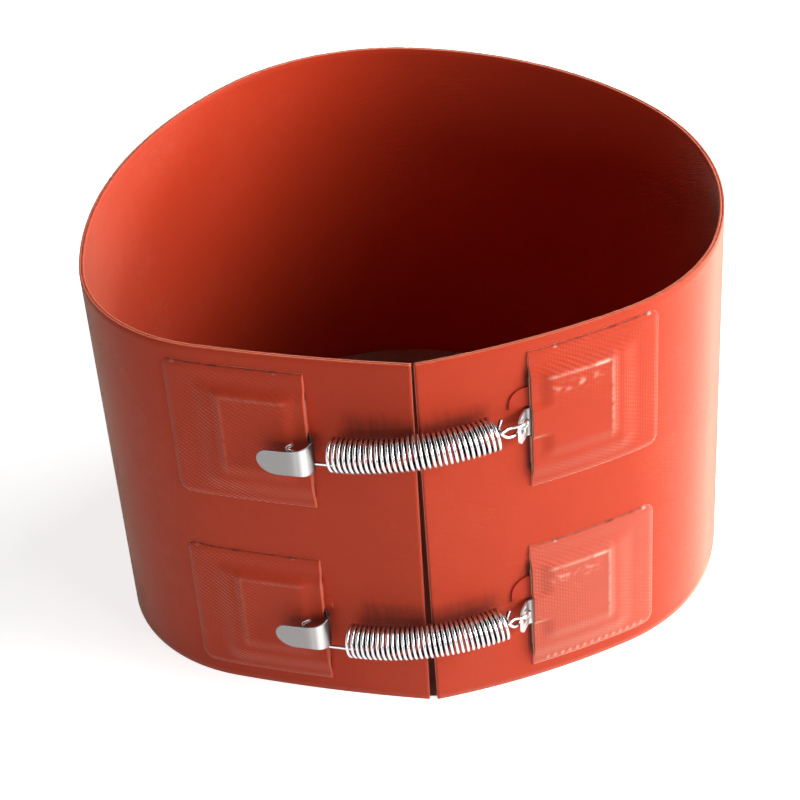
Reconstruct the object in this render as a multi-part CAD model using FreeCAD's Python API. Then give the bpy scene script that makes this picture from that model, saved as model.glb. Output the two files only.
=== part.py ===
import FreeCAD, Part
import math
import os

# Silicone drum heater band: a strip of two bonded silicone sheets with a foil
# element between them, stood on its lower edge and closed round by two tension
# springs. Each spring is hooked between a strip hook and a pierced tab, and both
# are plates held in vulcanised pockets near the ends of the band.
#
# Millimetres. +Z up, the seam faces -Y, the lower edge stands on z = 0.
# "s" runs along the band's outer face from its tab end round to its hook end,
# "out" is the distance outwards from that face.

Vector = FreeCAD.Vector

# Band
band_length = 860.0
band_height = 180.0
outer_sheet_thickness = 1.0
inner_sheet_thickness = 1.0
sheet_film = 0.1             # the bond between the two sheets
bond = 0.02                  # the bond, or the play, between other faces laid together
seam_gap_top = 1.6
seam_gap_bottom = 3.8        # the hook end is cut a little out of square
bow_heading = 9.4            # degrees off +X in which the band leaves the seam
# Share of the length and turn in degrees of each arc, from the tab end round the
# back to the hook end. The two arcs with no share take what closes the loop.
bows = [
    (0.107, 16.0),
    (0.076, 43.5),
    (None, 56.0),
    (0.147, 41.0),
    (0.114, 57.0),
    (None, 52.5),
    (0.097, 64.5),
    (0.106, 8.0),
]

# Foil element and its terminals
element_thickness = 0.2
element_width = 5.0
element_pitch = 22.0
element_margin = 9.0
element_row_gap = 7.0
element_clearance = 0.05
terminal_spread = 12.0
terminal_width = 4.0
terminal_foot = 4.0
barrel_radius = 1.7
barrel_length = 9.0
window_margin = 1.5

# Lead patch on the back
lead_patch_width = 52.0
lead_patch_height = 44.0
lead_patch_thickness = 10.5
lead_patch_corner = 6.0
lead_patch_rounding = 2.0
lead_bore_radius = 3.75
chamber_margin = 1.5
chamber_height = 13.0

# Pockets: patches, the plates in them and their liners
patch_width = 60.5
patch_height = 68.0
patch_thickness = 1.2
patch_corner = 5.0
plate_reach = 40.0
plate_height = 42.5
plate_thickness = 0.8
plate_corner = 5.0
pocket_clearance = 0.1
pad_rounding = 0.9
liner_thickness = 0.8
liner_inset = 4.0
tongue_corner = 0.7          # the tongue's upper corner, as a share of what sticks out and of its root
tab_liner_reach = 8.6        # how far a liner's tongue comes out of the mouth
hook_liner_reach = 3.5
tongue_above = 1.0

# Strip hooks
hook_gap = 9.2               # clear width inside the bend
hook_start = -0.4            # the bend's centre, measured from the mouth
leaf_length = 19.5
leaf_width = 12.5
leaf_corner = 4.5
leaf_sweep = 15.0
shoulder_rise = 2.8          # the strip is wider at the bend, above its leaf
shoulder_length = 4.0
neck_clearance = 0.4

# Pierced tabs
tab_width = 13.3
tab_flat = 1.0
tab_bend_radius = 2.0
tab_bend = 48.0
tab_lug_length = 7.2
tab_hole_radius = 2.2
tab_hole_from_tip = 4.0
tab_corner = 3.6

# Tension springs
spring_wire_radius = 0.76
spring_outer_radius = 7.5
spring_turns = 32
spring_steps_per_turn = 10
wire_sides = 6
spring_hook_end = 33.4       # distance of the coil's two ends from the seam
spring_tab_end = 29.0
spring_seat = 0.5            # clearance of the coil over the band at the seam
spring_end_out = 9.2
leg_angle = 120.0            # where the leg leaves the coil, from outwards through down
leg_bend = 1.8
leg_seat = 0.2               # play between the leg and the hook's bend
leg_hook = 7.0
loop_width = 5.6
loop_clearance = 0.25
stub_length = 5.0

# The two rows. Each has its level, set from the nearer edge of the band, and its pieces lie higher or
# lower than that. The mouths are distances from the seam. Every patch was laid on by hand.
upper_row_below_edge = 40.0
lower_row_above_edge = 41.5
rows = {
    "upper": {
        "level": band_height - upper_row_below_edge,
        "hook_mouth": 44.6,
        "tab_mouth": 46.9,
        "hook_patch": -1.3,
        "tab_patch": 1.2,
        "hook_top": 1.6,
        "tab": 1.7,
        "spring_hook": 0.7,
        "spring_tab": 6.4,
        "hook_tongue": 0.0,
        "tab_tongue": 9.0,
    },
    "lower": {
        "level": lower_row_above_edge,
        "hook_mouth": 45.9,
        "tab_mouth": 44.8,
        "hook_patch": 0.3,
        "tab_patch": -0.2,
        "hook_top": 5.0,
        "tab": -1.7,
        "spring_hook": -1.3,
        "spring_tab": 3.4,
        "hook_tongue": 5.0,
        "tab_tongue": 12.0,
    },
}

tiny = 1e-6                  # below this two places are the same
HOOK = "hook"
TAB = "tab"


def level(row, piece):
    """Height of a piece of a row."""
    return rows[row]["level"] + rows[row][piece]


def mouth(side, row):
    """How far from the seam a patch is open."""
    return rows[row][f"{side}_mouth"]


def heading(angle):
    return Vector(math.cos(angle), math.sin(angle), 0)


def plan_arcs():
    """The band's outer line as tangent arcs: start, length, radius, turn and heading of each."""
    angles = [math.radians(turn) for share, turn in bows]
    headings = [math.radians(bow_heading) + sum(angles[:i]) for i in range(len(angles))]
    chords = [heading(h + a / 2) * (math.sin(a / 2) / (a / 2)) for h, a in zip(headings, angles)]
    fixed = sum(((chords[i] * bows[i][0]) for i in range(len(bows)) if bows[i][0]), Vector())
    one, two = [i for i in range(len(bows)) if not bows[i][0]]
    a, b = chords[one], chords[two]
    area = a.x * b.y - a.y * b.x
    shares = [share for share, turn in bows]
    shares[one] = (fixed.y * b.x - fixed.x * b.y) / area
    shares[two] = (fixed.x * a.y - fixed.y * a.x) / area
    scale = band_length / sum(shares)
    arcs = []
    start, s = Vector(), 0.0
    for share, turn, direction, chord in zip(shares, angles, headings, chords):
        length = share * scale
        centre = start + heading(direction + math.pi / 2) * (length / turn)
        arcs.append((s, length, centre, length / turn, direction, turn))
        start = start + chord * length
        s += length
    return arcs


arcs = plan_arcs()


def arc_at(s):
    """The arc that holds s, or the nearest end arc."""
    for arc in arcs:
        if s <= arc[0] + arc[1]:
            return arc
    return arcs[-1]


def band_direction(s):
    start, length, centre, radius, direction, turn = arc_at(s)
    return heading(direction + (s - start) / radius)


def outward(s):
    direction = band_direction(s)
    return Vector(direction.y, -direction.x, 0)


def on_band(s, out=0.0, z=0.0):
    start, length, centre, radius, direction, turn = arc_at(s)
    return centre + outward(s) * (radius + out) + Vector(0, 0, z)


def offset_edges(s1, s2, out):
    """The arcs of the line that runs at out from the band's face, from s1 to s2."""
    edges = []
    for arc in arcs:
        low, high = max(s1, arc[0]), min(s2, arc[0] + arc[1])
        if high - low > tiny:
            centre, radius = arc[2], arc[3] + out
            angles = [arc[4] - math.pi / 2 + (s - arc[0]) / arc[3] for s in (low, (low + high) / 2, high)]
            edges.append(Part.Arc(*[centre + heading(a) * radius for a in angles]).toShape())
    return edges


def wall_block(s1, s2, out1, out2, z1, z2):
    """A piece of wall that follows the band: from s1 to s2, out1 to out2 and z1 to z2."""
    outer = offset_edges(s1, s2, out2)
    inner = offset_edges(s1, s2, out1)
    ends = [Part.makeLine(on_band(s, out1), on_band(s, out2)) for s in (s1, s2)]
    face = Part.Face(Part.Wire(Part.__sortEdges__(outer + inner + ends)))
    face.translate(Vector(0, 0, z1))
    return face.extrude(Vector(0, 0, z2 - z1))


def along(side, d):
    """s of a point d from the seam, on the tab side or the hook side."""
    return d if side == TAB else band_length - d


def side_block(side, d1, d2, out1, out2, z1, z2):
    s1, s2 = sorted((along(side, d1), along(side, d2)))
    return wall_block(s1, s2, out1, out2, z1, z2)


def round_corners(block, radius, side, d, above_only=False):
    """Rounds the corner edges, which run through the thickness, of a block at distance d from the seam."""
    s = along(side, d)
    low, high = block.BoundBox.ZMin, block.BoundBox.ZMax
    edges = []
    for edge in block.Edges:
        middle = edge.CenterOfMass
        flat = Vector(middle.x, middle.y, 0) - on_band(s)
        on_end = abs(flat.dot(band_direction(s))) < radius / 4
        flat_lying = abs(edge.Vertexes[0].Z - edge.Vertexes[-1].Z) < tiny
        above, below = high - middle.z < tiny, middle.z - low < tiny
        if on_end and flat_lying and (above or below and not above_only):
            edges.append(edge)
    return block.makeFillet(radius, edges)


def outer_sheet():
    sheet = band_sheet(-outer_sheet_thickness, 0.0)
    middle = band_length / 2
    half = terminal_spread / 2 + terminal_width / 2 + window_margin
    low, high = terminal_span()
    window = wall_block(middle - half, middle + half, -2 * outer_sheet_thickness, outer_sheet_thickness,
                        low - window_margin, high + window_margin)
    return sheet.cut(window)


def band_sheet(out1, out2):
    """A sheet over the whole band, with its hook end cut out of square."""
    sheet = wall_block(seam_gap_top / 2, band_length - seam_gap_top / 2, out1, out2, 0.0, band_height)
    end = band_length - seam_gap_top / 2
    slant = seam_gap_bottom - seam_gap_top
    back = on_band(end, 2 * out1)
    top = Vector(0, 0, band_height)
    past = band_direction(end) * bond
    corners = [back + top, back + past + top, back + past, back - band_direction(end) * slant, back + top]
    waste = Part.Face(Part.makePolygon(corners))
    return sheet.cut(waste.extrude(outward(end) * (-4 * out1)))


def element_out():
    """The two faces between which the foil lies, out of the band's face."""
    top = -(outer_sheet_thickness + sheet_film)
    return top - element_thickness, top


def element_track():
    """Corners (s, z) of the foil's track: out along the upper row, back along the lower and home again."""
    top = band_height - element_margin
    middle_high = (band_height + element_row_gap) / 2
    middle_low = (band_height - element_row_gap) / 2
    bottom = element_margin
    first = (band_length - terminal_spread) / 2
    count = int((first - element_margin) / element_pitch)
    count -= 1 - count % 2
    pitch = (first - element_margin) / count
    columns = [first - k * pitch for k in range(count + 1)]
    out_path = []
    for k, s in enumerate(columns[:-1]):
        ends = (middle_high, top) if k % 2 == 0 else (top, middle_high)
        out_path += [(s, ends[0]), (s, ends[1])]
    out_path += [(columns[-1], top), (columns[-1], bottom)]
    across = columns[-2::-1] + [band_length - s for s in columns[:-1]]
    for k, s in enumerate(across):
        ends = (bottom, middle_low) if k % 2 == 0 else (middle_low, bottom)
        out_path += [(s, ends[0]), (s, ends[1])]
    home = [(band_length - s, z) for s, z in out_path[:2 * len(columns)]]
    return out_path + home[::-1]


def track_blocks(clearance, above):
    """The foil's straight stretches, with a clearance under them and at their sides, and a height above them."""
    low, high = element_out()
    half = element_width / 2 + clearance
    corners = element_track()
    blocks = []
    for (s1, z1), (s2, z2) in zip(corners, corners[1:]):
        if abs(s1 - s2) + abs(z1 - z2) > tiny:
            blocks.append(wall_block(min(s1, s2) - half, max(s1, s2) + half, low - clearance, high + above,
                                     min(z1, z2) - half, max(z1, z2) + half))
    return blocks


def heating_element():
    blocks = track_blocks(0.0, 0.0)
    return blocks[0].multiFuse(blocks[1:]).removeSplitter()


def inner_sheet():
    face = -(outer_sheet_thickness + sheet_film)
    sheet = band_sheet(face - inner_sheet_thickness, face)
    blocks = track_blocks(element_clearance, sheet_film)
    return sheet.cut(blocks[0].multiFuse(blocks[1:]).removeSplitter())


def terminal_span():
    """Height of a terminal's foot, on the element's two ends at the middle of the back."""
    end = (band_height + element_row_gap) / 2
    return end - terminal_foot / 2, end + terminal_foot / 2


def terminal(hand):
    """A foot on the foil's end with a crimp barrel standing on it, hand -1 or 1 along the band."""
    s = band_length / 2 + hand * terminal_spread / 2
    low, high = terminal_span()
    foot = wall_block(s - terminal_width / 2, s + terminal_width / 2, element_out()[1] + bond, 2 * bond + barrel_radius,
                      low, high)
    base = on_band(s, 2 * bond + barrel_radius, (low + high - barrel_length) / 2)
    barrel = Part.makeCylinder(barrel_radius, barrel_length, base)
    bore = Part.makeCylinder(barrel_radius / 2, barrel_length / 2, base)
    return foot.fuse(barrel).cut(bore)


def lead_patch():
    """Moulded boss on the middle of the back: chamber over the terminals, bore for the lead out of its foot."""
    middle = band_length / 2
    half = lead_patch_width / 2
    low, high = terminal_span()
    z1 = (low + high - lead_patch_height) / 2
    body = wall_block(middle - half, middle + half, bond, lead_patch_thickness, z1, z1 + lead_patch_height)
    corners = [e for e in body.Edges if abs(e.Vertexes[0].Z - e.Vertexes[-1].Z) < tiny
               and abs(e.Length - lead_patch_thickness + bond) < 1e-3]
    body = body.makeFillet(lead_patch_corner, corners)
    rim = [e for e in body.Edges if outermost(e, middle, lead_patch_thickness)]
    body = body.makeFillet(lead_patch_rounding, rim)
    reach = (terminal_spread + terminal_width) / 2 + chamber_margin
    chamber_top = 2 * bond + 2 * barrel_radius + chamber_margin
    chamber_low = (low + high - chamber_height) / 2
    chamber = wall_block(middle - reach, middle + reach, -bond, chamber_top, chamber_low, chamber_low + chamber_height)
    bore = Part.makeCylinder(lead_bore_radius, chamber_low - z1 + 2 * chamber_margin,
                             on_band(middle, lead_patch_thickness / 2, z1 - chamber_margin))
    return body.cut(chamber).cut(bore)


def outermost(edge, s, out):
    """Whether an edge lies on the outer face of a block on the band around s."""
    points = [v.Point for v in edge.Vertexes] + [edge.valueAt((edge.FirstParameter + edge.LastParameter) / 2)]
    return all(abs(distance_out(p, s) - out) < 1e-3 for p in points)


def distance_out(point, s):
    """How far a point stands out of the band's face, looking on both sides of s."""
    flat = Vector(point.x, point.y, 0)
    best = None
    for arc in arcs:
        swing = math.atan2(flat.y - arc[2].y, flat.x - arc[2].x) - (arc[4] - math.pi / 2)
        swing = (swing + math.pi) % (2 * math.pi) - math.pi
        where = arc[0] + swing * arc[3]
        outside = max(arc[0] - where, where - arc[0] - arc[1], 0.0)
        if best is None or outside < best[0]:
            best = (outside, (flat - arc[2]).Length - arc[3])
    return best[1]


def plate_out():
    """The plate's two faces, out of the band's face."""
    low = liner_thickness + 2 * bond
    return low, low + plate_thickness


def patch(side, row):
    """Vulcanised patch: bonded round three sides, raised over the plate, open at its mouth."""
    z = level(row, f"{side}_patch")
    edge = mouth(side, row)
    far = edge + patch_width
    half = patch_height / 2
    body = side_block(side, edge, far, bond, bond + patch_thickness, z - half, z + half)
    body = round_corners(body, patch_corner, side, far)
    pocket_top = plate_out()[1] + pocket_clearance
    pocket_end = edge + plate_reach + pocket_clearance
    pocket_half = plate_height / 2 + pocket_clearance
    pad = side_block(side, edge, pocket_end + patch_thickness, bond, pocket_top + patch_thickness,
                     z - pocket_half - patch_thickness, z + pocket_half + patch_thickness)
    pad = round_corners(pad, plate_corner, side, pocket_end + patch_thickness)
    s = along(side, edge)
    rim = [e for e in pad.Edges if outermost(e, s, pocket_top + patch_thickness) and not on_mouth(e, s)]
    pad = pad.makeFillet(pad_rounding, rim)
    pocket = side_block(side, edge - patch_thickness, pocket_end, -bond, pocket_top,
                        z - pocket_half, z + pocket_half)
    return body.fuse(pad).cut(pocket)


def on_mouth(edge, s):
    """Whether an edge lies in the plane of the mouth at s."""
    return all(abs((Vector(v.X, v.Y, 0) - on_band(s)).dot(band_direction(s))) < 0.2 for v in edge.Vertexes)


def liner(side, row):
    """Rubber strip under the plate, with a rounded tongue that comes out of the mouth above the metal."""
    z = level(row, f"{side}_patch")
    edge = mouth(side, row)
    half = plate_height / 2
    strip = side_block(side, edge - pocket_clearance, edge + plate_reach - liner_inset, bond, bond + liner_thickness,
                       z - half, z + half)
    height = rows[row][f"{side}_tongue"]
    if not height:
        return strip
    reach = tab_liner_reach if side == TAB else hook_liner_reach
    metal = level(row, "tab") + tab_width / 2 if side == TAB else level(row, "hook_top") + shoulder_rise
    low = metal + tongue_above
    high = min(low + height, z + half)
    tongue = side_block(side, edge - reach, edge + liner_inset, bond, bond + liner_thickness, low, high)
    corner = tongue_corner * min(reach + liner_inset, high - low)
    tongue = round_corners(tongue, corner, side, edge - reach, above_only=True)
    return strip.fuse(tongue).removeSplitter()


def plate(side, row):
    """The part of a hook or tab that is held in its pocket."""
    z = level(row, f"{side}_patch")
    low, high = plate_out()
    edge = mouth(side, row)
    far = edge + plate_reach
    half = plate_height / 2
    block = side_block(side, edge + patch_thickness, far, low, high, z - half, z + half)
    return round_corners(block, plate_corner, side, far)


def mouth_frame(side, row):
    """Placement at a mouth: X towards the seam, Y outwards, Z up."""
    s = along(side, mouth(side, row))
    x = band_direction(s) * (-1 if side == TAB else 1)
    y = outward(s)
    return FreeCAD.Matrix(x.x, y.x, 0, on_band(s).x, x.y, y.y, 0, on_band(s).y, 0, 0, 1, 0, 0, 0, 0, 1)


def hook_profile():
    """The strip hook from above in the mouth's frame: out of the pocket, round the bend and back over the patch."""
    y = plate_out()[0]
    t = plate_thickness
    inner, outer = hook_gap / 2, hook_gap / 2 + t
    cx, cy = hook_start, y + t + inner
    back = -leaf_length
    p = [Vector(-patch_thickness - 2 * t, y, 0), Vector(cx, y, 0), Vector(cx + outer, cy, 0), Vector(cx, cy + outer, 0),
         Vector(back, cy + outer, 0), Vector(back, cy + inner, 0), Vector(cx, cy + inner, 0),
         Vector(cx + inner, cy, 0), Vector(cx, cy - inner, 0), Vector(-patch_thickness - 2 * t, y + t, 0)]
    edges = [Part.makeLine(p[0], p[1]), Part.Arc(p[1], p[2], p[3]).toShape(), Part.makeLine(p[3], p[4]),
             Part.makeLine(p[4], p[5]), Part.makeLine(p[5], p[6]), Part.Arc(p[6], p[7], p[8]).toShape(),
             Part.makeLine(p[8], p[9]), Part.makeLine(p[9], p[0])]
    return Part.Face(Part.Wire(edges))


def leaf_outline(top):
    """The hook's free leaf seen from outside, (x, z): straight above up to its shoulder, swept round below."""
    low, tip = top - leaf_width, -leaf_length
    shoulder = hook_start + hook_gap / 4 - shoulder_length
    corner = leaf_corner * (1 - math.sqrt(0.5))
    sweep = 1 - math.sqrt(0.5)
    drop = leaf_width - leaf_corner
    above = Part.BSplineCurve()
    above.interpolate(Points=[Vector(shoulder, 0, top), Vector(shoulder + shoulder_length, 0, top + shoulder_rise)],
                      InitialTangent=Vector(shoulder_length, 0, 0), FinalTangent=Vector(shoulder_length, 0, 2 * shoulder_rise))
    below = Part.BSplineCurve()
    below.interpolate(Points=[Vector(tip, 0, top - leaf_corner), Vector(tip + sweep * leaf_sweep, 0, low + sweep * drop),
                              Vector(tip + leaf_sweep, 0, low)],
                      InitialTangent=Vector(0, 0, -drop), FinalTangent=Vector(leaf_sweep, 0, 0))
    right = Vector(hook_gap, 0, 0)
    edges = [Part.makeLine(right + Vector(0, 0, low), right + Vector(0, 0, top + shoulder_rise)),
             Part.makeLine(right + Vector(0, 0, top + shoulder_rise), Vector(shoulder + shoulder_length, 0, top + shoulder_rise)),
             above.toShape(), Part.makeLine(Vector(shoulder, 0, top), Vector(tip + leaf_corner, 0, top)),
             Part.Arc(Vector(tip + leaf_corner, 0, top), Vector(tip + corner, 0, top - corner),
                      Vector(tip, 0, top - leaf_corner)).toShape(),
             below.toShape(), Part.makeLine(Vector(tip + leaf_sweep, 0, low), right + Vector(0, 0, low))]
    return Part.Face(Part.Wire(edges))


def spring_hook(row):
    """Strip hook: a plate with a strip that is bent back over the patch as a leaf."""
    top = level(row, "hook_top")
    low = top - leaf_width
    neck = max(low, leg_height(row) + spring_wire_radius + neck_clearance)
    strip = hook_profile()
    strip.translate(Vector(0, 0, low))
    strip = strip.extrude(Vector(0, 0, leaf_width + shoulder_rise))
    depth = plate_out()[1] + hook_gap / 2
    far = 2 * (leaf_length + hook_gap)
    leaf = leaf_outline(top)
    past_leg = depth + 2 * spring_wire_radius + neck_clearance
    leaf.translate(Vector(0, past_leg, 0))
    leaf = leaf.extrude(Vector(0, far, 0))
    root = Part.makeBox(far, past_leg, top + shoulder_rise - neck, Vector(-far / 2, 0, neck))
    strip = strip.common(leaf.fuse(root))
    strip = strip.transformGeometry(mouth_frame(HOOK, row))
    return plate(HOOK, row).fuse(strip).removeSplitter()


def lug_frame():
    """Where the tab's lug starts, in the mouth's frame, and the way it points."""
    angle = math.radians(tab_bend)
    radius = tab_bend_radius + plate_thickness / 2
    y = sum(plate_out()) / 2
    start = Vector(tab_flat + radius * math.sin(angle), y + radius * (1 - math.cos(angle)), 0)
    return start, Vector(math.cos(angle), math.sin(angle), 0)


def spring_tab(row):
    """Pierced tab: a plate with a lug that is bent outwards, rounded and drilled for the spring's loop."""
    z, half = level(row, "tab"), tab_width / 2
    y1, y2 = plate_out()
    angle = math.radians(tab_bend)
    start, way = lug_frame()
    across = Vector(-way.y, way.x, 0) * (plate_thickness / 2)
    centre = Vector(tab_flat, y1 + tab_bend_radius + plate_thickness, 0)

    def on_bend(radius, turn):
        return centre + Vector(math.sin(turn), -math.cos(turn), 0) * radius

    outer, inner = tab_bend_radius + plate_thickness, tab_bend_radius
    back = -patch_thickness - 2 * plate_thickness
    end = start + way * tab_lug_length
    bend_outer = Part.Arc(on_bend(outer, 0), on_bend(outer, angle / 2), on_bend(outer, angle)).toShape()
    bend_inner = Part.Arc(on_bend(inner, 0), on_bend(inner, angle / 2), on_bend(inner, angle)).toShape()
    edges = [Part.makeLine(Vector(back, y1, 0), on_bend(outer, 0)), bend_outer,
             Part.makeLine(on_bend(outer, angle), end - across), Part.makeLine(end - across, end + across),
             Part.makeLine(end + across, on_bend(inner, angle)), bend_inner,
             Part.makeLine(on_bend(inner, 0), Vector(back, y2, 0)), Part.makeLine(Vector(back, y2, 0), Vector(back, y1, 0))]
    tab = Part.Face(Part.Wire(edges))
    tab.translate(Vector(0, 0, z - half))
    tab = tab.extrude(Vector(0, 0, tab_width))
    tip = [e for e in tab.Edges if e.Length < 1.01 * plate_thickness and (e.CenterOfMass - end).cross(Vector(0, 0, 1)).Length < 1e-6]
    tab = tab.makeFillet(tab_corner, tip)
    hole = start + way * (tab_lug_length - tab_hole_from_tip) + Vector(0, 0, z) - across * 4
    tab = tab.cut(Part.makeCylinder(tab_hole_radius, 4 * plate_thickness, hole, across))
    tab = tab.transformGeometry(mouth_frame(TAB, row))
    return plate(TAB, row).fuse(tab).removeSplitter()


def leg_height(row):
    """Height of the spring's leg, which leaves the coil low on its inner side."""
    radius = spring_outer_radius - spring_wire_radius
    angle = math.radians(leg_angle)
    return level(row, "spring_hook") - radius * math.sin(angle) + leg_bend * math.cos(angle)


def spring_axis(row):
    """The coil's centre line: an arc over the seam from the hook side to the tab side, each end at its own height."""
    left = on_band(along(HOOK, spring_hook_end), spring_end_out)
    right = on_band(along(TAB, spring_tab_end), spring_end_out)
    seam_out = (outward(0.0) + outward(band_length)).normalize()
    middle = on_band(0.0) + seam_out * (spring_outer_radius + spring_seat)
    return Part.Arc(left, middle, right), level(row, "spring_hook"), level(row, "spring_tab")


def axis_frame(row, share):
    """Point on the coil's centre line with its direction, outward and downward vectors."""
    arc, z1, z2 = spring_axis(row)
    first, last = arc.FirstParameter, arc.LastParameter
    point = arc.value(first + share * (last - first))
    flat = arc.tangent(first + share * (last - first))[0]
    length = arc.length()
    direction = Vector(flat.x, flat.y, (z2 - z1) / length).normalize()
    out = Vector(flat.y, -flat.x, 0).normalize()
    return point + Vector(0, 0, z1 + share * (z2 - z1)), direction, out, direction.cross(out)


def coil_path(row):
    """Centre line of the coil, wound right-handed from the hook end to the tab end."""
    radius = spring_outer_radius - spring_wire_radius
    steps = spring_turns * spring_steps_per_turn
    path = []
    for k in range(steps + 1):
        centre, direction, out, down = axis_frame(row, k / steps)
        angle = math.radians(leg_angle) + 2 * math.pi * k / spring_steps_per_turn
        path.append(centre + out * (radius * math.cos(angle)) + down * (radius * math.sin(angle)))
    return path


def rounded(points, radius, steps=3):
    """A line through points with an arc of about the radius at each corner, as short chords."""
    path = [points[0]]
    for before, corner, after in zip(points, points[1:], points[2:]):
        to_before = (before - corner).normalize()
        to_after = (after - corner).normalize()
        half = to_before.getAngle(to_after) / 2
        inset = radius / math.tan(half)
        centre = corner + (to_before + to_after).normalize() * (radius / math.sin(half))
        first, last = corner + to_before * inset - centre, corner + to_after * inset - centre
        sweep = math.pi - 2 * half
        for k in range(steps + 1):
            share = k / steps
            path.append(centre + (first * math.sin((1 - share) * sweep) + last * math.sin(share * sweep)) * (1 / math.sin(sweep)))
    return path + [points[-1]]


def leg_path(row, start):
    """The hand-bent end that lies in the hook: up inside the bend, under the neck and along to the coil."""
    frame = mouth_frame(HOOK, row)
    bend_x = hook_start + hook_gap / 2 - spring_wire_radius - leg_seat
    bend_y = plate_out()[1] + hook_gap / 2
    z = leg_height(row)
    top = level(row, "spring_hook") - leg_bend / 2
    centre, direction, out, down = axis_frame(row, 0.0)
    angle = math.radians(leg_angle)
    corner = start + (out * math.sin(angle) - down * math.cos(angle)) * leg_bend
    seat = frame.multVec(Vector(bend_x, bend_y, z))
    points = [frame.multVec(Vector(bend_x - leg_hook, bend_y, top)), frame.multVec(Vector(bend_x, bend_y, top)), seat, corner]
    path = rounded(points + [start], leg_bend * 0.6)
    return path[:-1]


def loop_path(row):
    """The eye that runs through the tab's hole and back to the coil, where its cut end stands up."""
    start, way = lug_frame()
    front = Vector(-way.y, way.x, 0)
    up = Vector(0, 0, 1)
    hole = start + way * (tab_lug_length - tab_hole_from_tip) + up * level(row, "tab")
    past = plate_thickness / 2 + spring_wire_radius + loop_clearance
    bar = (tab_hole_from_tip + tab_hole_radius) / 2
    bight = tab_hole_radius - spring_wire_radius - 2 * loop_clearance
    over_tip = hole + way * tab_hole_from_tip + front * (past + loop_clearance) + up * (loop_width * 0.4)
    under_tip = hole + way * (bar + spring_wire_radius) - front * (past + loop_clearance) - up * (loop_width * 0.3)
    eye = [over_tip, hole + way * (bight * 0.3) + front * past + up * (bight * 1.2), hole - way * bight + up * (bight * 0.3),
           hole + way * (bight * 0.3) - front * past - up * (bight * 0.6), under_tip]
    eye = [mouth_frame(TAB, row).multVec(p) for p in eye]
    centre, direction, out, down = axis_frame(row, 1.0)
    radius = spring_outer_radius - spring_wire_radius
    spiral = []
    for turn, share in ((0, 1.0), (40, 0.86), (80, 0.5)):
        angle = math.radians(leg_angle + turn)
        run_in = out * math.cos(angle) + down * math.sin(angle)
        spiral.append(centre + direction * (turn / 40 * spring_wire_radius) + run_in * (radius * share))
    crossing = centre + direction * (4 * spring_wire_radius)
    side = out * (spring_wire_radius * 1.25)
    half = down * (loop_width / 2)
    first = crossing + (eye[0] - crossing) * 0.4 - half * 0.9
    last = crossing + (eye[-1] - crossing) * 0.4 + half * 0.9
    stub = crossing - side - down * stub_length + direction * (stub_length * 0.3)
    curve = Part.BSplineCurve()
    curve.interpolate(Points=spiral + [crossing + side, first] + eye + [last, crossing - side, stub])
    return curve.discretize(Deflection=0.06)[1:]


def wire(path):
    """A round wire of flat sides along a line of short chords, mitred where they meet."""
    chords = [(b - a).normalize() for a, b in zip(path, path[1:])]
    side = chords[0].cross(Vector(0, 0, 1)).normalize()
    other = chords[0].cross(side)
    turns = [2 * math.pi * k / wire_sides for k in range(wire_sides)]
    ring = [path[0] + (side * math.cos(a) + other * math.sin(a)) * spring_wire_radius for a in turns]
    rings = [ring]
    for chord, following, joint in zip(chords, chords[1:] + chords[-1:], path[1:]):
        plane = chord + following
        ring = [p + chord * ((joint - p).dot(plane) / chord.dot(plane)) for p in ring]
        rings.append(ring)
    faces = [Part.Face(Part.makePolygon(cap + cap[:1])) for cap in (rings[0], rings[-1])]
    for a, b in zip(rings, rings[1:]):
        for k in range(wire_sides):
            j = (k + 1) % wire_sides
            faces.append(Part.Face(Part.makePolygon([a[k], a[j], b[j], b[k], a[k]])))
    return Part.Solid(Part.Shell(faces))


def spring(row):
    """Tension spring wound and bent from one wire: hooked leg, coil, and an eye at the tab."""
    coil = coil_path(row)
    return wire(leg_path(row, coil[0]) + coil + loop_path(row))


def pieces():
    """Every piece by name."""
    made = {
        "outer_sheet": outer_sheet(),
        "inner_sheet": inner_sheet(),
        "heating_element": heating_element(),
        "lead_patch": lead_patch(),
        "terminal_tab_side": terminal(-1),
        "terminal_hook_side": terminal(1),
    }
    for row in rows:
        for side in (HOOK, TAB):
            made[f"{row}_{side}_patch"] = patch(side, row)
            made[f"{row}_{side}_liner"] = liner(side, row)
        made[f"{row}_spring_hook"] = spring_hook(row)
        made[f"{row}_spring_tab"] = spring_tab(row)
        made[f"{row}_spring"] = spring(row)
    return made


def main():
    """Stands the band on the middle of its footprint and writes each piece."""
    os.makedirs("parts", exist_ok=True)
    made = pieces()
    box = Part.Compound(list(made.values())).optimalBoundingBox(False)
    for name, shape in made.items():
        shape.translate(Vector(-box.Center.x, -box.Center.y, 0))
        shape.exportStep(f"parts/{name}.step")


main()
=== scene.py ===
import bmesh
import bpy
import numpy as np
from math import atan2, cos, exp, pi, radians, sin, sqrt, tan
from mathutils import Matrix, Vector, noise


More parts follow.
